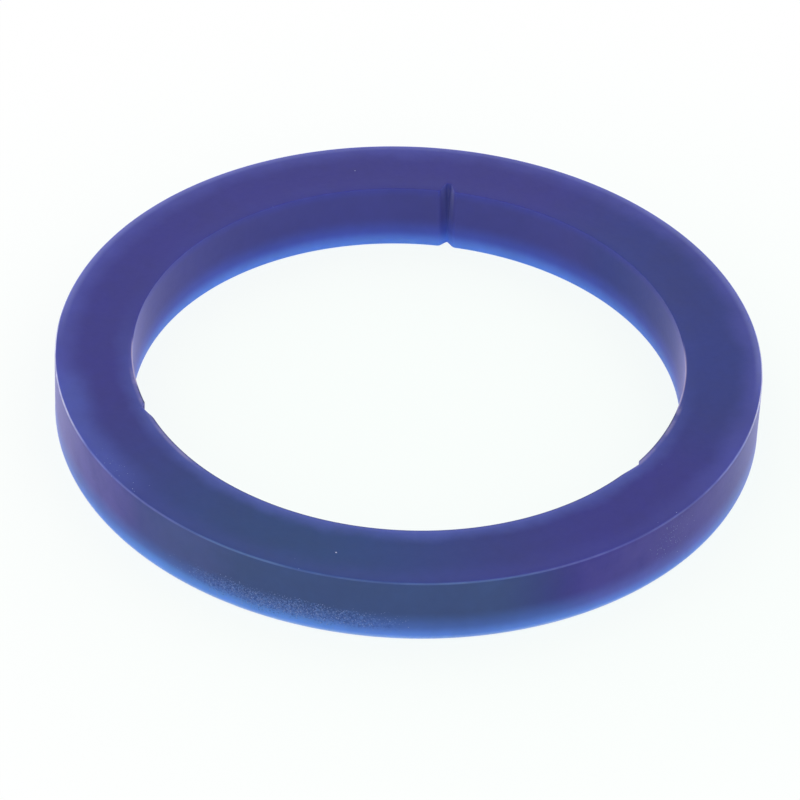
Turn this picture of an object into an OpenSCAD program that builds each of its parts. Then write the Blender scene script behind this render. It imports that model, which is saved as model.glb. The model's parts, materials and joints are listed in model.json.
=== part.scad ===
// Head gasket of an espresso machine: one moulded silicone ring of square-cornered section,
// with upright notches spaced around its bore. Millimetres, +Z up.
// Origin: on the ring's axis, in the plane of its lower face.

/* [Ring] */
// Outside diameter, which seats in the group's groove
outer_d = 73; // [68:0.5:90]
// Bore diameter, which passes the screen's holder
inner_d = 57; // [45:0.5:62]
// Thickness from the lower face to the upper face
thickness = 7.5; // [5:0.1:12]

/* [Edges] */
// Radius of the outer edge on the upper face
rim_edge_r = 0.3; // [0.1:0.05:1]
// Radius of the outer edge on the lower face
foot_edge_r = 0.6; // [0.1:0.05:1.2]
// Radius of the bore's two edges
bore_edge_r = 0.15; // [0.1:0.05:0.6]

/* [Notches] */
// Number of notches, evenly spaced around the bore
notch_count = 3; // [1:1:8]
// Direction of the first notch, in degrees from +X towards +Y
notch_start = 90; // [0:5:120]
// Depth of a notch beyond the bore wall
notch_depth = 0.9; // [0.6:0.05:2]
// Angle between a notch's two flanks, in degrees
notch_opening = 76; // [60:1:120]
// Radius along the bottom of a notch
notch_root_r = 0.15; // [0.1:0.05:0.5]
// Radius that rolls a notch's flanks over into the bore wall
notch_lip_r = 0.5; // [0.2:0.1:1.2]

/* [Hidden] */
silicone_blue = [0.16, 0.18, 0.55];
ring_fn = 240;
edge_fn = 32;
overshoot = 1;
outer_r = outer_d / 2;
inner_r = inner_d / 2;
// Angle between one flank and the notch's centre line
flank = notch_opening / 2;
// Centre of the circle along the notch's bottom, measured from the ring's axis
root_x = inner_r + notch_depth - notch_root_r;
// Point where the two flanks would meet, measured from the ring's axis
tip_x = root_x + notch_root_r / sin(flank);
// Angle at which a lip runs out on the bore wall
lip_runout = 10;
// Distance and direction of a lip circle's centre, seen from the ring's axis
lip_reach = sqrt(pow(inner_r, 2) + pow(notch_lip_r, 2) + 2 * inner_r * notch_lip_r * cos(lip_runout));
lip_turn = asin((tip_x * sin(flank) + notch_lip_r) / lip_reach) - flank;
lip_centre = lip_reach * [cos(lip_turn), sin(lip_turn)];
// Points where each straight flank begins and ends
flank_start = [root_x + notch_root_r * sin(flank), notch_root_r * cos(flank)];
flank_end = lip_centre - notch_lip_r * [sin(flank), cos(flank)];
// Point in the bore, halfway between its wall and the lip circle's innermost point
lip_back = (inner_r + lip_reach - notch_lip_r) / 2 * [cos(lip_turn), sin(lip_turn)];

// Material outside the arc at one corner of the section
// turn 0 faces outward and up, and each further 90 degrees goes on round to the left
module corner_waste(corner, turn, r) {
    translate(corner)
        rotate(turn)
        translate([-r, -r])
        difference() {
            square(r + overshoot);
            circle(r, $fn = edge_fn);
        }
}

// Section of the ring, to the right of its axis
module ring_section() {
    difference() {
        translate([inner_r, 0]) square([outer_r - inner_r, thickness]);
        corner_waste([outer_r, thickness], 0, rim_edge_r);
        corner_waste([inner_r, thickness], 90, bore_edge_r);
        corner_waste([inner_r, 0], 180, bore_edge_r);
        corner_waste([outer_r, 0], 270, foot_edge_r);
    }
}

// Plan of one notch on the +X side: a round bottom, two straight flanks and two lips
module notch_plan() {
    difference() {
        union() {
            polygon([
                flank_start,
                flank_end,
                lip_back,
                [lip_back[0], -lip_back[1]],
                [flank_end[0], -flank_end[1]],
                [flank_start[0], -flank_start[1]]
            ]);
            translate([root_x, 0]) circle(notch_root_r, $fn = edge_fn);
        }
        for (side = [-1, 1])
            translate([lip_centre[0], side * lip_centre[1]]) circle(notch_lip_r, $fn = edge_fn);
    }
}

// One notch, cut through from face to face
module notch() {
    translate([0, 0, -overshoot])
        linear_extrude(thickness + 2 * overshoot)
        notch_plan();
}

// The ring with its notches
module gasket() {
    color(silicone_blue)
    difference() {
        rotate_extrude($fn = ring_fn) ring_section();
        for (k = [0 : notch_count - 1])
            rotate(notch_start + k * 360 / notch_count) notch();
    }
}

gasket();
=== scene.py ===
"""Studio view of a group head gasket: one moulded ring of blue silicone with three notches in its bore.

Lengths are in metres. A length that is easier to read in millimetres is written as a number times MM.
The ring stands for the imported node, and fine dust lies on it.
"""
import json
import logging
import math
from dataclasses import dataclass, field
from enum import Enum

import bpy
from mathutils import Matrix, Vector


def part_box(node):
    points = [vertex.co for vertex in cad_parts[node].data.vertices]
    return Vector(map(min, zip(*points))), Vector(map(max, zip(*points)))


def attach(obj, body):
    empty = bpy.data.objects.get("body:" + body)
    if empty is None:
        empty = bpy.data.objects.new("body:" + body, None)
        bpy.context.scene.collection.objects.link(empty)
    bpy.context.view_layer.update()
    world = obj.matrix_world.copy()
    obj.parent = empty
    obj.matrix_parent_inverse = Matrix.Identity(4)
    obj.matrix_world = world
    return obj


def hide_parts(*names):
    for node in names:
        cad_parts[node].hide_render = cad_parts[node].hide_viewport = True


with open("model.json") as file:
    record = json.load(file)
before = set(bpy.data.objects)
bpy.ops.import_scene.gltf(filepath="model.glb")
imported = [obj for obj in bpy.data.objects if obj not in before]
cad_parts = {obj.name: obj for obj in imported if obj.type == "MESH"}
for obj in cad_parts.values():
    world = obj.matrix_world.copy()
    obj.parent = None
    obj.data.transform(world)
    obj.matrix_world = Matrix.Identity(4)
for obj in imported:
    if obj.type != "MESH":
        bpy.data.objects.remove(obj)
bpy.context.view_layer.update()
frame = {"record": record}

MM = 0.001
NODE = "gasket"
BODY = "root"

log = logging.getLogger("gasket")

Colour = tuple[float, float, float]


class Kind(Enum):
    """What a wire carries, by the name that a node's data type gives it."""

    NUMBER = "FLOAT"
    PLACE = "VECTOR"
    COLOUR = "RGBA"


class Arc(Enum):
    """Stretches of the ring, each by the bearing of its middle and how far it reaches. Most place painted
    light, sheen, highlights or shade in the silicone's colour.

    A bearing is in degrees, from +X towards +Y. The two numbers after it are cosines of the angle
    from that bearing: where the stretch begins, and where it is full.
    """

    SHADE = (10, 0.3, 0.95)
    SLATE = (22, 0.62, 0.97)
    BORE_SLATE = (33, 0.88, 0.98)
    WALL = (266, 0.76, 0.92)
    PAINTED_SHEEN_LEFT = (217, 0.95, 1.0)
    PAINTED_SHEEN_AHEAD = (234, 0.95, 0.99)
    PAINTED_SHEEN_RIGHT = (322, 0.91, 1.0)
    GREY_SHEEN_LEFT = (178, 0.78, 0.95)
    GREY_SHEEN_RIGHT = (13, 0.75, 0.97)
    GREY_SHEEN_BORE_RIGHT = (352, 0.86, 0.97)
    GREY_SHEEN_BORE_LEFT = (208, 0.78, 0.96)
    EDGE_LEFT = (212, 0.94, 0.99)
    EDGE_AHEAD = (270, 0.25, 0.75)
    EDGE_INSIDE = (270, -0.1, 0.6)
    GLOW_RIGHT = (322, 0.93, 0.99)
    FOOT_AHEAD = (248, 0.90, 0.975)
    POWDER = (259, 0.935, 0.992)
    LINE_MIDDLE = (272, 0.35, 0.95)
    LINE_NEAR = (272, 0.05, 0.5)
    LINE_FRONT = (272, -0.15, 0.15)
    LINE_LEFT_END = (199, 0.95, 0.99)
    LINE_RIGHT_END = (360, 0.965, 0.99)
    LINE_BACK = (88, 0.75, 0.97)
    LINE_PALE = (270, 0.82, 0.93)
    FAINT_AHEAD = (270, 0.97, 0.995)
    FAINT_RIGHT = (322, 0.95, 0.985)
    HAIRLINE = (270, 0.0, 0.25)
    HAIRLINE_LEFT = (214, 0.945, 0.975)
    HAIRLINE_RIGHT = (341, 0.972, 0.988)
    SHARP_BORE = (276.5, 0.23, 0.30)
    BORE_LINE_LEFT = (196, 0.982, 0.996)
    BORE_LINE_RIGHT = (357, 0.951, 0.996)


class Wire:
    """A value that leaves a node, with arithmetic that adds Math nodes to its net."""

    def __init__(self, net: "Net", socket: bpy.types.NodeSocket) -> None:
        """Keeps the socket and the net that it belongs to.

        Args:
            net: The net that new nodes are added to.
            socket: The output socket that the value comes from.
        """
        self.net = net
        self.socket = socket

    def __add__(self, other: "Value") -> "Wire":
        """Returns this value plus another."""
        return self.net.math("ADD", self, other)

    def __radd__(self, other: "Value") -> "Wire":
        """Returns another value plus this one."""
        return self.net.math("ADD", other, self)

    def __sub__(self, other: "Value") -> "Wire":
        """Returns this value minus another."""
        return self.net.math("SUBTRACT", self, other)

    def __rsub__(self, other: "Value") -> "Wire":
        """Returns another value minus this one."""
        return self.net.math("SUBTRACT", other, self)

    def __mul__(self, other: "Value") -> "Wire":
        """Returns this value times another."""
        return self.net.math("MULTIPLY", self, other)

    def __rmul__(self, other: "Value") -> "Wire":
        """Returns another value times this one."""
        return self.net.math("MULTIPLY", other, self)

    def __truediv__(self, other: "Value") -> "Wire":
        """Returns this value divided by another."""
        return self.net.math("DIVIDE", self, other)

    def __rtruediv__(self, other: "Value") -> "Wire":
        """Returns another value divided by this one."""
        return self.net.math("DIVIDE", other, self)


Value = Wire | float


class Net:
    """A node tree, with short calls for the nodes that the shapes and finishes here use."""

    def __init__(self, tree: bpy.types.NodeTree) -> None:
        """Starts on a tree.

        Args:
            tree: The geometry or shader tree that nodes are added to.
        """
        self.tree = tree

    def node(
        self, kind: str, inputs: dict[str | int, object] | None = None, **settings: object
    ) -> bpy.types.Node:
        """Adds a node, sets its options and feeds its inputs.

        Args:
            kind: The node's type name.
            inputs: Values or wires by the name or number of the input that takes them.
            **settings: The node's own options.

        Returns:
            The new node.
        """
        made = self.tree.nodes.new(kind)
        for name, value in settings.items():
            setattr(made, name, value)
        for key, value in (inputs or {}).items():
            self.feed(made.inputs[key], value)
        return made

    def feed(self, socket: bpy.types.NodeSocket, value: object) -> None:
        """Links a wire to an input, or sets the input's own value.

        Args:
            socket: The input socket.
            value: A wire, or a plain value.
        """
        if isinstance(value, Wire):
            self.tree.links.new(value.socket, socket)
        else:
            socket.default_value = value

    def out(self, made: bpy.types.Node, key: str | int = 0) -> Wire:
        """Returns the wire from one output of a node."""
        return Wire(self, made.outputs[key])

    def math(self, operation: str, *values: Value) -> Wire:
        """Adds a Math node.

        Args:
            operation: The node's operation.
            *values: Its inputs, in order.

        Returns:
            The result.
        """
        return self.out(self.node("ShaderNodeMath", dict(enumerate(values)), operation=operation))

    def vector(self, x: Value, y: Value, z: Value) -> Wire:
        """Returns a vector made of three numbers."""
        return self.out(self.node("ShaderNodeCombineXYZ", {"X": x, "Y": y, "Z": z}))

    def parts(self, vector: Wire) -> tuple[Wire, Wire, Wire]:
        """Returns the three numbers that a vector is made of."""
        made = self.node("ShaderNodeSeparateXYZ", {"Vector": vector})
        return self.out(made, "X"), self.out(made, "Y"), self.out(made, "Z")

    def scaled(self, vector: Wire, factor: Value) -> Wire:
        """Returns a vector times a number."""
        return self.out(
            self.node("ShaderNodeVectorMath", {"Vector": vector, "Scale": factor}, operation="SCALE")
        )

    def summed(self, first: Wire, second: Wire) -> Wire:
        """Returns the sum of two vectors."""
        return self.out(self.node("ShaderNodeVectorMath", {0: first, 1: second}, operation="ADD"))

    def length(self, x: Value, y: Value) -> Wire:
        """Returns the length of a flat vector from its two numbers."""
        return self.math("SQRT", self.math("MULTIPLY", x, x) + self.math("MULTIPLY", y, y))

    def pick(self, test: Wire, yes: Value, no: Value) -> Wire:
        """Returns one value where a test is 1 and another where it is 0.

        Args:
            test: A wire that is 0 or 1.
            yes: The value where the test is 1.
            no: The value where the test is 0.

        Returns:
            The chosen value.
        """
        made = self.node("ShaderNodeMix", {0: test, 2: no, 3: yes}, data_type=Kind.NUMBER.value)
        return self.out(made)

    def fade(self, value: Wire, start: Value, end: Value) -> Wire:
        """Returns a smooth step.

        Args:
            value: The value that is tested.
            start: Where the step is 0.
            end: Where the step is 1, which may be below start.

        Returns:
            A number from 0 to 1.
        """
        made = self.node(
            "ShaderNodeMapRange",
            {"Value": value, "From Min": start, "From Max": end},
            interpolation_type="SMOOTHSTEP",
        )
        return self.out(made)

    def noise(self, place: Wire, scale: float, detail: float = 2.0, offset: float = 0.0) -> Wire:
        """Returns smooth noise from 0 to 1.

        Args:
            place: Where the noise is read.
            scale: Waves for each metre.
            detail: How many finer layers are added.
            offset: Height at which this noise is read, so that two noises differ.

        Returns:
            The noise value.
        """
        moved = self.summed(place, self.vector(0.0, 0.0, offset)) if offset else place
        return self.out(
            self.node("ShaderNodeTexNoise", {"Vector": moved, "Scale": scale, "Detail": detail}), 0
        )

    def blend(self, factor: Value, first: Wire | Colour, second: Wire | Colour) -> Wire:
        """Returns a mix of two colours.

        Args:
            factor: 0 for the first colour, 1 for the second.
            first: A colour or a wire.
            second: A colour or a wire.

        Returns:
            The mixed colour.
        """
        made = self.node("ShaderNodeMix", {0: factor}, data_type=Kind.COLOUR.value)
        for number, colour in ((6, first), (7, second)):
            self.feed(made.inputs[number], colour if isinstance(colour, Wire) else (*colour, 1.0))
        return self.out(made, 2)


def new_material(name: str) -> tuple[bpy.types.Material, Net]:
    """Makes a material whose node tree is still empty.

    Args:
        name: The material's name.

    Returns:
        The material and the net of its node tree.
    """
    made = bpy.data.materials.new(name)
    made.use_nodes = True
    made.node_tree.nodes.clear()
    return made, Net(made.node_tree)


@dataclass
class ShapeTree:
    """A Geometry Nodes tree with named inputs, and the mesh that it makes."""

    name: str
    tree: bpy.types.NodeTree = field(init=False)
    net: Net = field(init=False)
    ids: dict[str, str] = field(init=False, default_factory=dict)
    entry: bpy.types.Node = field(init=False)
    values: dict[str, float] = field(init=False, default_factory=dict)

    def __post_init__(self) -> None:
        """Makes the empty tree with its geometry sockets."""
        self.tree = bpy.data.node_groups.new(self.name, "GeometryNodeTree")
        self.tree.interface.new_socket("Geometry", in_out="INPUT", socket_type="NodeSocketGeometry")
        self.tree.interface.new_socket("Geometry", in_out="OUTPUT", socket_type="NodeSocketGeometry")
        self.net = Net(self.tree)
        self.entry = self.tree.nodes.new("NodeGroupInput")

    def size(self, name: str, value: float) -> Wire:
        """Adds a named number input.

        Args:
            name: The input's name.
            value: Its value in this scene.

        Returns:
            The wire from the input.
        """
        kind = "NodeSocketInt" if isinstance(value, int) else "NodeSocketFloat"
        made = self.tree.interface.new_socket(name, in_out="INPUT", socket_type=kind)
        made.default_value = value
        self.ids[name] = made.identifier
        self.values[name] = value
        return self.net.out(self.entry, name)

    def geometry(self) -> Wire:
        """Returns the geometry that the tree is given."""
        return self.net.out(self.entry, "Geometry")

    def finish(self, geometry: Wire, material: bpy.types.Material) -> None:
        """Ends the tree in plain geometry with its material.

        Args:
            geometry: What the tree has made.
            material: The material that all of it gets.
        """
        real = self.net.node("GeometryNodeRealizeInstances", {"Geometry": geometry})
        dressed = self.net.node(
            "GeometryNodeSetMaterial", {"Geometry": self.net.out(real), "Material": material}
        )
        self.net.node("NodeGroupOutput", {"Geometry": self.net.out(dressed)})

    def make(self, piece: str, start: bpy.types.Mesh | None = None) -> bpy.types.Object:
        """Runs the tree once and keeps its result as a plain mesh.

        Args:
            piece: The new object's name.
            start: The mesh that the tree is given, if it needs one.

        Returns:
            An object at the origin that holds the mesh and no modifier.
        """
        base = start.copy() if start else bpy.data.meshes.new(f"{piece}_start")
        held = bpy.data.objects.new(piece, base)
        bpy.context.scene.collection.objects.link(held)
        modifier = held.modifiers.new(self.name, "NODES")
        modifier.node_group = self.tree
        for name, value in self.values.items():
            modifier[self.ids[name]] = value
        evaluated = held.evaluated_get(bpy.context.evaluated_depsgraph_get())
        mesh = bpy.data.meshes.new_from_object(evaluated)
        mesh.name = piece
        held.modifiers.clear()
        held.data = mesh
        bpy.data.meshes.remove(base)
        return held


@dataclass(frozen=True)
class Notch:
    """One notch of the bore: a round bottom between two flanks that ease into the bore wall.

    The flanks are given by their slope from the bore wall, the clockwise one first, as seen from above.
    Towards the upper face the notch turns by its lean and grows by its growth, up to its limit.
    """

    name: str
    turn: float
    depth: float
    clockwise: float
    counter: float
    root_edge: float = 0.25 * MM
    lip_edge: float = 0.25 * MM
    lean: float = 0.0
    growth: float = 0.0
    limit: float = 2.0 * MM

    def bite(self, shape: "ShapeTree", turn: Wire, rise: Wire, bore: Wire) -> Wire:
        """Adds the nodes for how far this notch moves the bore wall out.

        Args:
            shape: The tree that the nodes go into.
            turn: The direction from the axis, in radians.
            rise: Height as a share of the ring's thickness.
            bore: The bore's radius.

        Returns:
            The wall's shift in that direction, 0 beyond the notch.
        """
        net = shape.net
        depth = shape.size(f"{self.name} Depth", self.depth)
        clockwise = shape.size(f"{self.name} Clockwise Flank", self.clockwise)
        counter = shape.size(f"{self.name} Counter Flank", self.counter)
        root = shape.size(f"{self.name} Root Edge", self.root_edge)
        lip = shape.size(f"{self.name} Lip Edge", self.lip_edge)
        lean = shape.size(f"{self.name} Lean", self.lean)
        growth = shape.size(f"{self.name} Growth", self.growth)
        limit = shape.size(f"{self.name} Limit", self.limit)
        along = net.math("WRAP", turn - rise * lean - self.turn, math.pi, -math.pi) * bore
        before = depth + along * net.math("TANGENT", clockwise)
        after = depth - along * net.math("TANGENT", counter)
        inside = net.math("SMOOTH_MIN", before, after, root)
        grown = net.math("SMOOTH_MAX", inside, 0.0, lip) * (rise * rise * growth + 1.0)
        return net.math("SMOOTH_MIN", grown, limit, limit * 0.3)


@dataclass(frozen=True)
class Spot:
    """Where a finish is read: a point of the ring, and the ring's sizes."""

    net: Net
    place: Wire
    upright: Wire
    r: Wire
    z: Wire
    turn: Wire
    outer: float
    inner: float
    thickness: float

    def along(self, arc: Arc) -> Wire:
        """Returns a number that rises smoothly from 0 outside a stretch of the ring to 1 inside it."""
        bearing, start, end = arc.value
        return self.net.fade(self.net.math("COSINE", self.turn - math.radians(bearing)), start, end)

    def outer_wall(self) -> Wire:
        """Returns 1 on the outer wall and 0 elsewhere."""
        return self.upright * self.net.fade(self.r, self.outer - 1.5 * MM, self.outer - 1.0 * MM)

    def bore_wall(self) -> Wire:
        """Returns 1 on the bore wall and in its notches, and 0 elsewhere."""
        return self.upright * self.net.fade(self.r, self.inner + 2.0 * MM, self.inner + 1.5 * MM)

    def away(self, r: float, z: float) -> Wire:
        """Returns the distance, across the section, from the circle with a given radius and height."""
        return self.net.length(self.r - r, self.z - z)

    def noise(self, scale: float, detail: float = 2.0, offset: float = 0.0) -> Wire:
        """Returns smooth noise from 0 to 1 at this point; scale is in waves for each metre."""
        return self.net.noise(self.place, scale, detail, offset)


@dataclass(frozen=True)
class SiliconeFinish:
    """Matt blue silicone that lets some light through and pales where it is seen aslant; light through its
    edges, highlights on them and part of the paling are painted into its colour.
    """

    deep: Colour = (0.014, 0.012, 0.200)
    slate: Colour = (0.004, 0.019, 0.190)
    front: Colour = (0.003, 0.039, 0.165)
    wall: Colour = (0.025, 0.062, 0.192)
    # Painted light: the bore wall and the notches' cores are lighter than the rest, standing in for light
    # that reaches them.
    bore: Colour = (0.045, 0.050, 0.262)
    bore_slate: Colour = (0.026, 0.048, 0.255)
    notch: Colour = (0.066, 0.080, 0.330)
    # Painted light: the light that comes through near the upper edges.
    edge: Colour = (0.045, 0.055, 0.330)
    edge_front: Colour = (0.055, 0.090, 0.390)
    edge_left: Colour = (0.052, 0.090, 0.410)
    # Painted light: the glow that comes through along the two lower edges.
    glow: Colour = (0.056, 0.140, 0.468)
    glow_right: Colour = (0.092, 0.110, 0.480)
    bore_glow: Colour = (0.056, 0.100, 0.510)
    foot: Colour = (0.124, 0.300, 0.820)
    foot_front: Colour = (0.085, 0.275, 0.680)
    base: Colour = (0.420, 0.620, 0.950)
    # Painted highlights along the upper outer edge and the bore's upper edge, and painted shade on the
    # bore's near upper edge.
    rim: Colour = (0.330, 0.370, 0.720)
    rim_front: Colour = (0.225, 0.395, 0.650)
    rim_end: Colour = (0.720, 0.720, 0.950)
    bore_line: Colour = (0.550, 0.460, 0.620)
    hairline: Colour = (0.360, 0.310, 0.480)
    edge_shade: Colour = (0.040, 0.045, 0.105)
    # Painted sheen: a paler colour on the outer wall at both sides, where it is seen aslant.
    painted_wall_sheen: Colour = (0.098, 0.082, 0.350)
    under: Colour = (0.066, 0.095, 0.390)
    # Painted sheen: greys on both walls at the ring's two sides.
    grey_sheen: Colour = (0.320, 0.280, 0.430)
    grey_sheen_right: Colour = (0.240, 0.260, 0.300)
    grey_sheen_bore: Colour = (0.330, 0.270, 0.330)
    powder: Colour = (0.092, 0.200, 0.510)
    powder_gap: Colour = (0.012, 0.050, 0.215)
    front_centre: Vector = Vector((-7 * MM, -33 * MM, 0.0))
    front_reach: float = 33 * MM
    tone: float = 0.76
    mottling: float = 0.30
    flecking: float = 0.18
    shading: float = 0.06
    roughness: float = 0.46
    rough_grain: float = 0.12
    rough_mottling: float = 0.06
    index: float = 1.41
    softness: float = 0.35
    soft_reach: Vector = Vector((0.4, 0.6, 2.0))
    sheen: float = 0.8
    sheen_roughness: float = 0.35
    sheen_tint: Colour = (0.54, 0.54, 0.96)
    grain: float = 0.02 * MM
    grain_strength: float = 0.35

    def material(self, outer: float, inner: float, thickness: float) -> bpy.types.Material:
        """Makes the material for a ring of a given size.

        Args:
            outer: The ring's outside radius.
            inner: The bore's radius.
            thickness: The ring's thickness.

        Returns:
            The material.
        """
        made, net = new_material("blue_silicone")
        own = net.node("ShaderNodeTexCoord")
        place = net.out(own, "Object")
        upright = net.fade(net.math("ABSOLUTE", net.parts(net.out(own, "Normal"))[2]), 0.7, 0.3)
        x, y, z = net.parts(place)
        turn = net.math("ARCTAN2", y, x)
        spot = Spot(net, place, upright, net.length(x, y), z, turn, outer, inner, thickness)
        colour = self._body(spot, net.length(x - self.front_centre.x, y - self.front_centre.y))
        colour = self._edge_light(spot, colour)
        colour = self._foot_light(spot, colour)
        colour = self._grey_sheen(spot, colour)
        colour = self._powder(spot, colour)
        colour = self._fine_lines(spot, colour)
        mottle = spot.noise(0.11 / MM, 3.0)
        flecks = spot.noise(0.7 / MM, 3.0, 40 * MM)
        shade = spot.along(Arc.SHADE) * self.shading
        colour = net.scaled(colour, self.tone + mottle * self.mottling + flecks * self.flecking - shade)
        rough = self.roughness + spot.noise(1.6 / MM, 4.0) * self.rough_grain + mottle * self.rough_mottling
        shader = net.node(
            "ShaderNodeBsdfPrincipled",
            {
                "Base Color": colour,
                "Roughness": rough,
                "IOR": self.index,
                "Subsurface Weight": self.softness,
                "Subsurface Radius": self.soft_reach,
                "Subsurface Scale": MM,
                "Sheen Weight": self.sheen,
                "Sheen Roughness": self.sheen_roughness,
                "Sheen Tint": (*self.sheen_tint, 1.0),
                "Normal": self._grain(spot),
            },
        )
        net.node("ShaderNodeOutputMaterial", {"Surface": net.out(shader)})
        return made

    def _body(self, spot: Spot, aside: Wire) -> Wire:
        """Returns the silicone's colour: greener in front and to the right, and lighter on the two walls,
        by painted sheen on the outer wall's sides and painted light on the bore wall and in the notches.

        Args:
            spot: Where the finish is read.
            aside: Distance from the middle of the greener front.

        Returns:
            The colour.
        """
        net = spot.net
        colour = net.blend(spot.along(Arc.SLATE), self.deep, self.slate)
        colour = net.blend(net.fade(aside, self.front_reach, 0.0), colour, self.front)
        outside = spot.outer_wall()
        colour = net.blend(outside * spot.along(Arc.WALL), colour, self.wall)
        # Painted sheen on the outer wall at both sides, uneven in strength.
        left = net.math("MAXIMUM", spot.along(Arc.PAINTED_SHEEN_LEFT), spot.along(Arc.PAINTED_SHEEN_AHEAD) * 0.28)
        both = net.math("MAXIMUM", left, spot.along(Arc.PAINTED_SHEEN_RIGHT) * 0.5)
        uneven = net.fade(spot.noise(0.3 / MM, 3.0, 50 * MM), 0.2, 0.65) * 0.5 + 0.42
        colour = net.blend(outside * both * uneven * 0.75, colour, self.painted_wall_sheen)
        # Painted light: the bore wall and the notches' cores get lighter colours.
        in_notch = net.fade(spot.r, spot.inner + 0.3 * MM, spot.inner + 0.9 * MM)
        bore = net.blend(spot.along(Arc.BORE_SLATE), self.bore, self.bore_slate)
        return net.blend(spot.bore_wall(), colour, net.blend(in_notch, bore, self.notch))

    def _edge_light(self, spot: Spot, colour: Wire) -> Wire:
        """Paints into the colour the light that comes through near the upper face's edges, on the side that
        faces it, and on the bore wall's upper part.

        Args:
            spot: Where the finish is read.
            colour: The colour so far.

        Returns:
            The colour with that light.
        """
        net = spot.net
        top = net.fade(spot.z, spot.thickness - 0.4 * MM, spot.thickness - 0.1 * MM)
        wavy = spot.r + (spot.noise(0.2 / MM, 3.0, 60 * MM) - 0.5) * (2.4 * MM)
        outside = net.fade(wavy, spot.outer - 3.2 * MM, spot.outer - 0.2 * MM)
        outside = outside * (1.0 - spot.along(Arc.EDGE_AHEAD) * 0.75)
        inside = net.fade(wavy, spot.inner + 2.2 * MM, spot.inner + 0.1 * MM)
        near = spot.along(Arc.EDGE_INSIDE)
        colour = net.blend(top * outside * 0.8, colour, self.edge)
        left = net.fade(wavy, spot.outer - 4.0 * MM, spot.outer - 1.0 * MM)
        left = left * spot.along(Arc.EDGE_LEFT)
        colour = net.blend(top * left * 0.5, colour, self.edge_left)
        colour = net.blend(top * inside * (0.08 + near * 0.62), colour, self.edge_front)
        high = net.fade(spot.z, spot.thickness - 1.2 * MM, spot.thickness - 0.4 * MM)
        return net.blend(spot.bore_wall() * high * 0.6, colour, self.edge)

    def _foot_light(self, spot: Spot, colour: Wire) -> Wire:
        """Paints into the colour the light that comes through along the two lower edges, and adds the
        underside's own tone.

        Args:
            spot: Where the finish is read.
            colour: The colour so far.

        Returns:
            The colour with that light.
        """
        net = spot.net
        outside = spot.away(spot.outer, 0.0)
        inside = net.length(net.math("MAXIMUM", spot.r - (spot.inner + 0.8 * MM), 0.0), spot.z)
        near = net.math("MINIMUM", outside, inside)
        glow = net.blend(spot.along(Arc.GLOW_RIGHT) * 0.7, self.glow, self.glow_right)
        glow = net.blend(net.math("LESS_THAN", inside, outside), glow, self.bore_glow)
        colour = net.blend(net.fade(near, 3.8 * MM, 0.9 * MM), colour, glow)
        ahead = net.fade(outside, 2.1 * MM, 0.8 * MM) * spot.along(Arc.FOOT_AHEAD)
        colour = net.blend(ahead * 0.75, colour, self.foot_front)
        colour = net.blend(net.fade(near, 1.9 * MM, 0.0), colour, self.foot)
        colour = net.blend(net.fade(outside, 0.8 * MM, 0.1 * MM) * 0.8, colour, self.base)
        below = net.fade(spot.z, 0.05 * MM, 0.0) * net.fade(near, 0.2 * MM, 1.8 * MM)
        return net.blend(below, colour, self.under)

    def _grey_sheen(self, spot: Spot, colour: Wire) -> Wire:
        """Adds painted sheen: a grey that pales both walls at the ring's two sides, where they are seen
        aslant.

        Args:
            spot: Where the finish is read.
            colour: The colour so far.

        Returns:
            The colour with the bloom.
        """
        net = spot.net
        outside = spot.outer_wall()
        # Painted sheen on the outer wall, then on the bore wall.
        colour = net.blend(outside * (spot.along(Arc.GREY_SHEEN_LEFT) * 0.20), colour, self.grey_sheen)
        colour = net.blend(outside * (spot.along(Arc.GREY_SHEEN_RIGHT) * 0.10), colour, self.grey_sheen_right)
        tips = spot.along(Arc.GREY_SHEEN_BORE_RIGHT) * 0.19 + spot.along(Arc.GREY_SHEEN_BORE_LEFT) * 0.08
        return net.blend(spot.bore_wall() * tips, colour, self.grey_sheen_bore)

    def _powder(self, spot: Spot, colour: Wire) -> Wire:
        """Adds the fine dry powder, light and dark by turns, in a band low on the front of the outer wall.

        Args:
            spot: Where the finish is read.
            colour: The colour so far.

        Returns:
            The colour with the powder.
        """
        net = spot.net
        wavy = spot.z + (spot.noise(0.35 / MM, 3.0, 90 * MM) - 0.5) * (2.4 * MM)
        band = net.fade(wavy, 3.4 * MM, 2.7 * MM) * net.fade(wavy, 0.8 * MM, 1.6 * MM)
        clumps = net.fade(spot.noise(1.1 / MM, 2.0, 110 * MM), 0.35, 0.62) * 0.6 + 0.4
        band = band * clumps * spot.outer_wall() * spot.along(Arc.POWDER)
        speck = spot.noise(5.0 / MM, 1.0)
        colour = net.blend(band * net.fade(speck, 0.50, 0.64) * 0.7, colour, self.powder)
        return net.blend(band * net.fade(speck, 0.50, 0.36) * 0.7, colour, self.powder_gap)

    def _fine_lines(self, spot: Spot, colour: Wire) -> Wire:
        """Adds the pale line along the upper outer edge and the hairline along the bore's upper edge, both
        painted highlights, with a painted shade line and a further painted highlight on the bore's upper
        edge.

        Args:
            spot: Where the finish is read.
            colour: The colour so far.

        Returns:
            The colour with these painted highlights and shade.
        """
        net = spot.net
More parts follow.
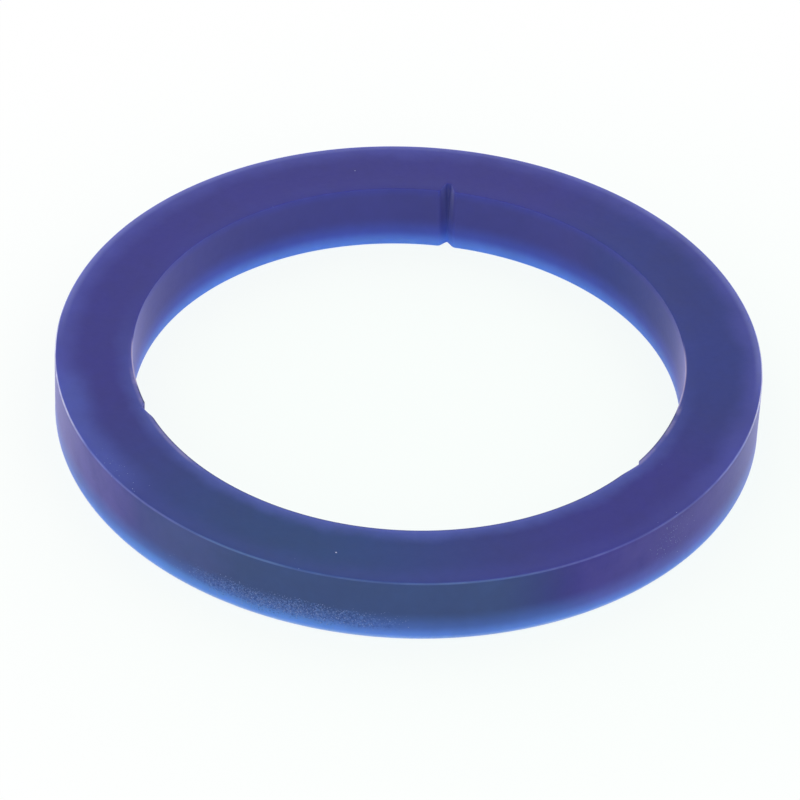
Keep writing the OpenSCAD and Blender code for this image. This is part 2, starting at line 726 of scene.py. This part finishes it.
        # Painted highlight along the rounded upper outer edge, uneven in strength.
        rim = net.fade(spot.away(spot.outer - 0.05 * MM, spot.thickness - 0.13 * MM), 0.16 * MM, 0.04 * MM)
        aside = 1.0 - spot.along(Arc.LINE_MIDDLE)
        far = 1.0 - spot.along(Arc.LINE_NEAR)
        behind = 1.0 - spot.along(Arc.LINE_FRONT)
        patchy_highlight = net.fade(spot.noise(0.35 / MM, 3.0, 20 * MM), 0.3, 0.7)
        ends = net.math("MAXIMUM", spot.along(Arc.LINE_LEFT_END), spot.along(Arc.LINE_RIGHT_END) * 0.75)
        faint = net.math("MAXIMUM", spot.along(Arc.FAINT_AHEAD), spot.along(Arc.FAINT_RIGHT))
        back = spot.along(Arc.LINE_BACK)
        rim = rim * (0.26 + aside * 0.14 + far * 0.45 + ends * 0.30 - faint * 0.08 - back * 0.35)
        # Painted glow near the upper outer edge, on the ring's far half.
        halo = net.fade(spot.away(spot.outer - 0.1 * MM, spot.thickness - 0.1 * MM), 0.9 * MM, 0.2 * MM)
        colour = net.blend(halo * behind * (0.24 - back * 0.09), colour, self.rim)
        pale = net.blend(spot.along(Arc.LINE_PALE), self.rim, self.rim_front)
        pale = net.blend(ends, pale, self.rim_end)
        colour = net.blend(rim * (0.55 + patchy_highlight * 0.45), colour, pale)
        # Painted highlight: the broken hairline along the bore's upper edge.
        bore = net.fade(spot.away(spot.inner + 0.2 * MM, spot.thickness), 0.4 * MM, 0.1 * MM)
        beside = net.math("MAXIMUM", spot.along(Arc.HAIRLINE_LEFT), spot.along(Arc.HAIRLINE_RIGHT))
        broken = net.fade(spot.noise(0.5 / MM, 3.0, 70 * MM), 0.35, 0.6)
        streak = bore * (spot.along(Arc.HAIRLINE) * 0.04 + beside * (0.10 + broken * 0.30))
        colour = net.blend(streak, colour, self.hairline)
        # Painted shade: a dark line on the bore's upper edge, on the near side.
        sharp = net.fade(spot.away(spot.inner, spot.thickness), 0.20 * MM, 0.08 * MM)
        hidden = spot.along(Arc.SHARP_BORE)
        colour = net.blend(sharp * hidden * 0.9, colour, self.edge_shade)
        # Painted highlight along the bore's upper edge at both ends.
        line = net.fade(spot.away(spot.inner, spot.thickness - 0.12 * MM), 0.22 * MM, 0.06 * MM)
        tips = net.math("MAXIMUM", spot.along(Arc.BORE_LINE_LEFT), spot.along(Arc.BORE_LINE_RIGHT))
        return net.blend(line * tips * (1.0 - hidden) * 0.8, colour, self.bore_line)

    def _grain(self, spot: Spot) -> Wire:
        """Adds the skin's fine grain and the streaks that run round it.

        Args:
            spot: Where the finish is read.

        Returns:
            The normal that they give.
        """
        net = spot.net
        grain = spot.noise(4.0 / MM, 3.0)
        around = net.noise(net.vector(spot.r * 3.0, spot.z * 3.0, spot.turn * 2.0 * MM), 1.0 / MM, 2.0)
        bump = net.node(
            "ShaderNodeBump",
            {"Strength": self.grain_strength, "Distance": self.grain, "Height": grain * 0.6 + around * 0.4},
        )
        return net.out(bump)


@dataclass(frozen=True)
class DustFinish:
    """Pale dry dust, lighter on some grains than on others."""

    dull: Colour = (0.07, 0.16, 0.42)
    bright: Colour = (0.62, 0.64, 0.78)
    roughness: float = 0.9

    def material(self) -> bpy.types.Material:
        """Makes the material, which reads each grain's own tone.

        Returns:
            The material.
        """
        made, net = new_material("pale_dust")
        place = net.out(net.node("ShaderNodeTexCoord"), "Object")
        tone = net.out(net.node("ShaderNodeAttribute", attribute_name=Dust.TONE), "Fac")
        patch = net.noise(place, 6.0 / MM, 1.0)
        colour = net.blend(tone * 0.8 + patch * 0.2, self.dull, self.bright)
        bump = net.node("ShaderNodeBump", {"Strength": 0.4, "Distance": 0.01 * MM, "Height": patch})
        shader = net.node(
            "ShaderNodeBsdfPrincipled",
            {"Base Color": colour, "Roughness": self.roughness, "Normal": net.out(bump)},
        )
        net.node("ShaderNodeOutputMaterial", {"Surface": net.out(shader)})
        return made


@dataclass
class Ring:
    """The moulded ring: its section swept round the axis, with the bore wall moved out at each notch."""

    outer: float
    inner: float
    thickness: float
    rim_edge: float = 0.2 * MM
    foot_edge: float = 0.6 * MM
    bore_edge: float = 0.15 * MM
    bore_lip: float = 0.05 * MM
    notches: tuple[Notch, ...] = (
        Notch(
            "Far Notch", math.radians(89.6), 0.90 * MM, math.radians(48), math.radians(50),
            root_edge=0.35 * MM, lip_edge=0.35 * MM, lean=math.radians(0.35), growth=1.5, limit=1.45 * MM,
        ),
        Notch(
            "Left Notch", math.radians(208.9), 0.51 * MM, math.radians(48), math.radians(14.5),
            root_edge=0.15 * MM, lip_edge=0.15 * MM,
        ),
        Notch(
            "Right Notch", math.radians(331.5), 0.29 * MM, math.radians(6.8), math.radians(40),
            root_edge=0.12 * MM, lip_edge=0.08 * MM,
        ),
    )
    first_notch: float = math.radians(90)
    finish: SiliconeFinish = SiliconeFinish()
    steps: int = 720
    side_steps: int = 10
    edge_steps: int = 6
    crowding: float = 0.9
    sunk: float = 0.025 * MM
    skin: float = 0.022 * MM
    notch_reach: float = 3.6 * MM

    def build(self) -> bpy.types.Object:
        """Builds the ring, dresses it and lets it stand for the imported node.

        Returns:
            The ring.
        """
        shape = ShapeTree("ring_shape")
        outer = shape.size("Outside Radius", self.outer)
        inner = shape.size("Bore Radius", self.inner)
        thickness = shape.size("Thickness", self.thickness - self.sunk)
        section, offset = self._section(shape, outer - inner, thickness)
        path, turn = self._path(shape)
        net = shape.net
        swept = net.node("GeometryNodeCurveToMesh", {"Curve": path, "Profile Curve": section})
        across, up, _ = net.parts(offset)
        middle = (outer + inner) * 0.5
        z = net.math("MAXIMUM", up + thickness * 0.5, 0.0)
        bites = [notch.bite(shape, turn, z / thickness, inner) for notch in self.notches]
        in_bore = across + (outer - inner) * 0.5
        near_bore = net.fade(in_bore, self.notch_reach, self.bore_edge)
        r = middle + across + (bites[0] + bites[1] + bites[2]) * near_bore
        place = net.vector(net.math("COSINE", turn) * r, net.math("SINE", turn) * r, z)
        laid = net.node("GeometryNodeSetPosition", {"Geometry": net.out(swept), "Position": place})
        outward = net.node("GeometryNodeFlipFaces", {"Mesh": net.out(laid)})
        skin = self._skin(shape, net.out(outward))
        smooth = net.node("GeometryNodeSetShadeSmooth", {"Geometry": skin, "Shade Smooth": True})
        shape.finish(net.out(smooth), self.finish.material(self.outer, self.inner, self.thickness))
        ring = shape.make("silicone_ring")
        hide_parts(NODE)
        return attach(ring, BODY)

    def _section(self, shape: ShapeTree, width: Wire, height: Wire) -> tuple[Wire, Wire]:
        """Adds the nodes for the section: a rectangle with its four edges rounded.

        Args:
            shape: The tree that the nodes go into.
            width: The section's width.
            height: The section's height.

        Returns:
            The section's curve, and each point's place in it.
        """
        net = shape.net
        rim = shape.size("Rim Edge", self.rim_edge)
        foot = shape.size("Foot Edge", self.foot_edge)
        bore = shape.size("Bore Edge", self.bore_edge)
        lip = shape.size("Bore Lip", self.bore_lip)
        plain = net.node("GeometryNodeCurvePrimitiveQuadrilateral", {"Width": width, "Height": height})
        divided = net.node(
            "GeometryNodeSubdivideCurve", {"Curve": net.out(plain), "Cuts": self.side_steps - 1}
        )
        across, up, _ = net.parts(net.out(net.node("GeometryNodeInputPosition")))
        at_side = net.math("GREATER_THAN", net.math("ABSOLUTE", across), width * 0.499)
        at_face = net.math("GREATER_THAN", net.math("ABSOLUTE", up), height * 0.499)
        outside = net.math("GREATER_THAN", across, 0.0)
        above = net.math("GREATER_THAN", up, 0.0)
        edge = net.pick(outside, net.pick(above, rim, foot), net.pick(above, lip, bore))
        rounded = net.node(
            "GeometryNodeFilletCurve",
            {"Curve": net.out(divided), "Radius": at_side * at_face * edge, "Count": self.edge_steps},
            mode="POLY",
        )
        place = net.out(net.node("GeometryNodeInputPosition"))
        return self._captured(net, net.out(rounded), place, Kind.PLACE)

    def _path(self, shape: ShapeTree) -> tuple[Wire, Wire]:
        """Adds the nodes for the path round the axis, with its steps crowded at the notches.

        Args:
            shape: The tree that the nodes go into.

        Returns:
            The path's curve, and each point's direction from the axis in radians.
        """
        net = shape.net
        steps = shape.size("Steps Around", self.steps)
        crowding = shape.size("Step Crowding", self.crowding)
        circle = net.node("GeometryNodeCurvePrimitiveCircle", {"Resolution": steps, "Radius": self.outer})
        even = net.out(net.node("GeometryNodeInputIndex")) * (2 * math.pi) / steps
        count = float(len(self.notches))
        turn = even - net.math("SINE", even * count) * crowding / count + self.first_notch
        return self._captured(net, net.out(circle, "Curve"), turn, Kind.NUMBER)

    def _captured(self, net: Net, geometry: Wire, value: Wire, kind: Kind) -> tuple[Wire, Wire]:
        """Keeps a value with each point of a curve, so that the swept mesh can read it.

        Args:
            net: The tree's net.
            geometry: The curve.
            value: The value that is kept.
            kind: What the value is.

        Returns:
            The curve and the kept value.
        """
        held = net.node("GeometryNodeCaptureAttribute", domain="POINT")
        held.capture_items.new(kind.value, "Held")
        net.feed(held.inputs["Geometry"], geometry)
        net.feed(held.inputs["Held"], value)
        return net.out(held, "Geometry"), net.out(held, "Held")

    def _skin(self, shape: ShapeTree, geometry: Wire) -> Wire:
        """Adds the nodes that sink the walls and the upper face in slow, shallow waves.

        Args:
            shape: The tree that the nodes go into.
            geometry: The ring with true faces.

        Returns:
            The ring with its moulded skin.
        """
        net = shape.net
        skin = shape.size("Skin Depth", self.skin)
        place = net.out(net.node("GeometryNodeInputPosition"))
        x, y, z = net.parts(place)
        above = net.fade(z, 0.1 * MM, 1.0 * MM)
        away = net.fade(net.length(x, y), self.inner + 1.6 * MM, self.inner + 2.4 * MM) * 0.85 + 0.15
        depth = skin * (0.7 + net.noise(place, 0.22 / MM, 2.0) * 0.6) * above * away
        normal = net.out(net.node("GeometryNodeInputNormal"))
        moved = net.node(
            "GeometryNodeSetPosition", {"Geometry": geometry, "Offset": net.scaled(normal, 0.0 - depth)}
        )
        return net.out(moved)


@dataclass(frozen=True)
class Patch:
    """A stretch of the ring where dust lies, thickest in its middle."""

    name: str
    seed: int
    density: float
    grain: float
    turn: float = 0.0
    half_turn: float = 2 * math.pi
    height: float = 0.0
    half_height: float = 1.0
    radius: float = 0.0
    half_radius: float = 1.0
    brightness: float = 0.35


@dataclass
class Dust:
    """Fine dust on the ring: loose specks all over it and powder in patches."""

    TONE = "grain_tone"

    ring: Ring
    flatness: float = 0.22
    finish: DustFinish = DustFinish()

    def patches(self) -> tuple[Patch, ...]:
        """Lists the places where dust lies.

        Returns:
            The patches, in the order in which they are laid.
        """
        outer, top = self.ring.outer, self.ring.thickness
        return (
            Patch(
                "Front Powder", 11, 7.0e7, 0.045 * MM, math.radians(259), math.radians(22),
                2.3 * MM, 1.4 * MM, outer, 0.6 * MM, 0.20,
            ),
            Patch(
                "Right Powder", 12, 9.0e6, 0.045 * MM, math.radians(324), math.radians(7),
                4.8 * MM, 3.2 * MM, outer, 0.6 * MM, 0.38,
            ),
            Patch(
                "Left Powder", 13, 2.5e6, 0.045 * MM, math.radians(222), math.radians(10),
                top, 0.3 * MM, outer - 1.0 * MM, 1.6 * MM, 0.30,
            ),
            Patch("Loose Specks", 14, 5.0e3, 0.085 * MM, height=top, half_height=top, brightness=1.0),
        )

    def build(self, base: bpy.types.Mesh) -> bpy.types.Object:
        """Scatters the dust over the ring's mesh.

        Args:
            base: The ring's mesh.

        Returns:
            All the dust as one piece.
        """
        shape = ShapeTree("dust_shape")
        heaps = [self._heap(shape, patch) for patch in self.patches()]
        joined = shape.net.node("GeometryNodeJoinGeometry")
        for heap in reversed(heaps):
            shape.net.feed(joined.inputs[0], heap)
        shape.finish(shape.net.out(joined), self.finish.material())
        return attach(shape.make("dust", base), BODY)

    def _share(self, net: Net, patch: Patch) -> Wire:
        """Returns how thickly a patch's dust lies, from 0 outside it to 1 in its middle.

        Args:
            net: The net that the nodes go into.
            patch: The patch.

        Returns:
            The share of the patch's density.
        """
        x, y, z = net.parts(net.out(net.node("GeometryNodeInputPosition")))
        turn = net.math("ARCTAN2", y, x)
        off = net.math("ABSOLUTE", net.math("WRAP", turn - patch.turn, math.pi, -math.pi))
        above = net.math("ABSOLUTE", z - patch.height)
        aside = net.math("ABSOLUTE", net.length(x, y) - patch.radius)
        around = net.fade(off, patch.half_turn, 0.0) * net.fade(above, patch.half_height, 0.0)
        return around * net.fade(aside, patch.half_radius, 0.0) * net.fade(z, 0.1 * MM, 0.6 * MM)

    def _heap(self, shape: ShapeTree, patch: Patch) -> Wire:
        """Adds the nodes that lay one patch's grains on the ring.

        Args:
            shape: The tree that the nodes go into.
            patch: The patch.

        Returns:
            The patch's grains.
        """
        net = shape.net
        density = shape.size(f"{patch.name} Density", patch.density)
        grain = shape.size(f"{patch.name} Grain Radius", patch.grain)
        spread = net.node(
            "GeometryNodeDistributePointsOnFaces",
            {"Mesh": shape.geometry(), "Density": density * self._share(net, patch), "Seed": patch.seed},
            distribute_method="RANDOM",
        )
        ball = net.node("GeometryNodeMeshIcoSphere", {"Radius": 1.0, "Subdivisions": 1})
        pick = net.node(
            "FunctionNodeRandomValue",
            {"Min": 0.0, "Max": 1.0, "Seed": patch.seed},
            data_type=Kind.NUMBER.value,
        )
        chance = net.out(pick, 1)
        wide = grain * (0.5 + chance * chance * 0.8)
        grains = net.node(
            "GeometryNodeInstanceOnPoints",
            {
                "Points": net.out(spread, "Points"),
                "Instance": net.out(ball, "Mesh"),
                "Rotation": net.out(spread, "Rotation"),
                "Scale": net.vector(wide, wide * (0.6 + chance * 0.4), grain * self.flatness),
            },
        )
        tone = net.node(
            "GeometryNodeStoreNamedAttribute",
            {"Geometry": net.out(grains), "Name": self.TONE, "Value": chance * patch.brightness},
            data_type=Kind.NUMBER.value,
            domain="INSTANCE",
        )
        return net.out(tone)


@dataclass
class Studio:
    """A pale floor in an even white light."""

    floor_size: float = 4.0
    floor_gap: float = 0.03 * MM
    contact: float = 0.1 * MM
    light: float = 1.0
    shadow: float = 0.12
    floor_colour: Colour = (0.93, 0.93, 0.93)
    floor_bright: Colour = (1.0, 1.0, 1.0)
    floor_tint: Colour = (0.96, 1.00, 0.98)
    tint_centre: Vector = Vector((10 * MM, -5 * MM, 0.0))
    tint_full: float = 20 * MM
    tint_end: float = 90 * MM

    def build(self) -> None:
        """Makes the floor and the light, and sets the view transform."""
        bpy.context.scene.view_settings.view_transform = "Standard"
        self._world()
        self._floor()

    def _world(self) -> None:
        """Makes the even white light from all round."""
        world = bpy.data.worlds.new("white_tent")
        bpy.context.scene.world = world
        world.use_nodes = True
        world.node_tree.nodes.clear()
        net = Net(world.node_tree)
        light = net.node("ShaderNodeBackground", {"Color": (1.0, 1.0, 1.0, 1.0), "Strength": self.light})
        net.node("ShaderNodeOutputWorld", {"Surface": net.out(light)})

    def _floor(self) -> None:
        """Makes the pale floor, which keeps the ring's faint shadow."""
        half = self.floor_size / 2
        mesh = bpy.data.meshes.new("floor")
        low = -self.floor_gap
        corners = [(-half, -half, low), (half, -half, low), (half, half, low), (-half, half, low)]
        mesh.from_pydata(corners, [], [(0, 1, 2, 3)])
        floor = bpy.data.objects.new("floor", mesh)
        bpy.context.scene.collection.objects.link(floor)
        mesh.materials.append(self._floor_material())

    def _floor_material(self) -> bpy.types.Material:
        """Makes the floor's material: white to the camera apart from the shadow.

        It is clear from below and where the ring touches it, so that the ring's underside can be looked at.

        Returns:
            The material.
        """
        made, net = new_material("pale_floor")
        x, y, _ = net.parts(net.out(net.node("ShaderNodeTexCoord"), "Object"))
        away = net.length(x - self.tint_centre.x, y - self.tint_centre.y)
        near = net.fade(away, self.tint_end, self.tint_full)
        tint = net.blend(near, self.floor_bright, self.floor_tint)
        lit = net.node("ShaderNodeBsdfDiffuse", {"Color": (*self.floor_colour, 1.0)})
        shown = net.node("ShaderNodeBsdfDiffuse", {"Color": tint})
        glow = net.node("ShaderNodeEmission", {"Color": tint, "Strength": 1.0})
        seen = net.node("ShaderNodeMixShader", {0: self.shadow, 1: net.out(glow), 2: net.out(shown)})
        path = net.node("ShaderNodeLightPath")
        clear = net.math(
            "MAXIMUM", net.out(path, "Is Camera Ray"), net.out(path, "Is Transmission Ray")
        )
        both = net.node("ShaderNodeMixShader", {0: clear, 1: net.out(lit), 2: net.out(seen)})
        below = net.out(net.node("ShaderNodeNewGeometry"), "Backfacing")
        touching = net.math("LESS_THAN", net.out(path, "Ray Length"), self.contact)
        gone = net.math("MAXIMUM", below, touching)
        through = net.node("ShaderNodeBsdfTransparent")
        floor = net.node("ShaderNodeMixShader", {0: gone, 1: net.out(both), 2: net.out(through)})
        net.node("ShaderNodeOutputMaterial", {"Surface": net.out(floor)})
        return made


@dataclass
class PhotoCamera:
    """The camera at the photograph's viewing angle."""

    azimuth: float = math.radians(6.5)
    elevation: float = math.radians(38.707)
    distance: float = 488.344 * MM
    yaw: float = math.radians(0.085)
    pitch: float = math.radians(-0.095)
    roll: float = math.radians(2.692)
    sensor: float = 36.0
    focal_pixels: float = 4690.24
    image_pixels: float = 800.0

    def build(self) -> bpy.types.Object:
        """Makes the scene's camera.

        Returns:
            The camera.
        """
        data = bpy.data.cameras.new("photo_camera")
        data.sensor_width = self.sensor
        data.lens = self.focal_pixels * self.sensor / self.image_pixels
        data.clip_start = self.distance * 0.1
        data.clip_end = self.distance * 20
        camera = bpy.data.objects.new("photo_camera", data)
        bpy.context.scene.collection.objects.link(camera)
        aim = Matrix.Rotation(self.azimuth, 4, "Z") @ Matrix.Rotation(math.pi / 2 - self.elevation, 4, "X")
        lean = (
            Matrix.Rotation(self.yaw, 4, "Y")
            @ Matrix.Rotation(-self.pitch, 4, "X")
            @ Matrix.Rotation(self.roll, 4, "Z")
        )
        camera.matrix_world = Matrix.Translation(aim @ Vector((0.0, 0.0, self.distance))) @ aim @ lean
        bpy.context.scene.camera = camera
        return camera


def report(piece: bpy.types.Object) -> None:
    """Logs a piece's name and its count of faces."""
    log.info("%s: %d faces", piece.name, len(piece.data.polygons))


def bore_radius() -> float:
    """Returns the bore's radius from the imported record's bore mount."""
    mount = next(m for m in frame["record"]["mounts"] if m["kind"] == "bore")
    return mount["dims"]["r_mm"] * MM


def main() -> None:
    """Builds the studio, the camera, the ring and its dust."""
    logging.basicConfig(level=logging.INFO, format="%(name)s: %(message)s")
    Studio().build()
    PhotoCamera().build()
    low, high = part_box(NODE)
    sizes = Ring(outer=high.x, inner=bore_radius(), thickness=high.z - low.z)
    ring = sizes.build()
    report(ring)
    report(Dust(sizes).build(ring.data))


if __name__ == "__main__":
    main()
